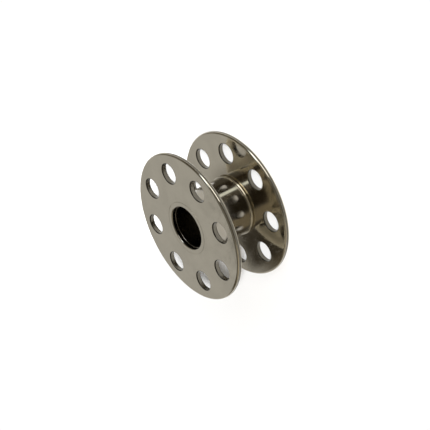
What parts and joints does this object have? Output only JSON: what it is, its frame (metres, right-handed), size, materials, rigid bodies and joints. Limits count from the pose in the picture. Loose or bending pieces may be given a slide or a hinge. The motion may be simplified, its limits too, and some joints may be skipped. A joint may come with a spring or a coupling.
{
  "type": "sewing machine bobbin",
  "caption": "Metal thread bobbin: flat round flanges with rings of round holes, pressed onto the ends of a plain hollow tube that runs on a spindle.",
  "frame": {"origin": "on the bobbin's axis, at the lower flange's outer face, on which it stands", "axes": "+Z along the axis from the lower flange to the upper one; +X through the middle of one hole of the lower flange"},
  "size_m": [0.021, 0.021, 0.0088],
  "materials": {
    "flange": "punched sheet steel, bright nickel plate, polished, with fine handling marks",
    "tube": "turned steel tube, nickel plate, a little duller than the flanges, with faint turning lines round it"
  },
  "bodies": {
    "root": {"hub_tube": "tube", "upper_flange": "flange", "lower_flange": "flange"}
  },
  "joints": []
}
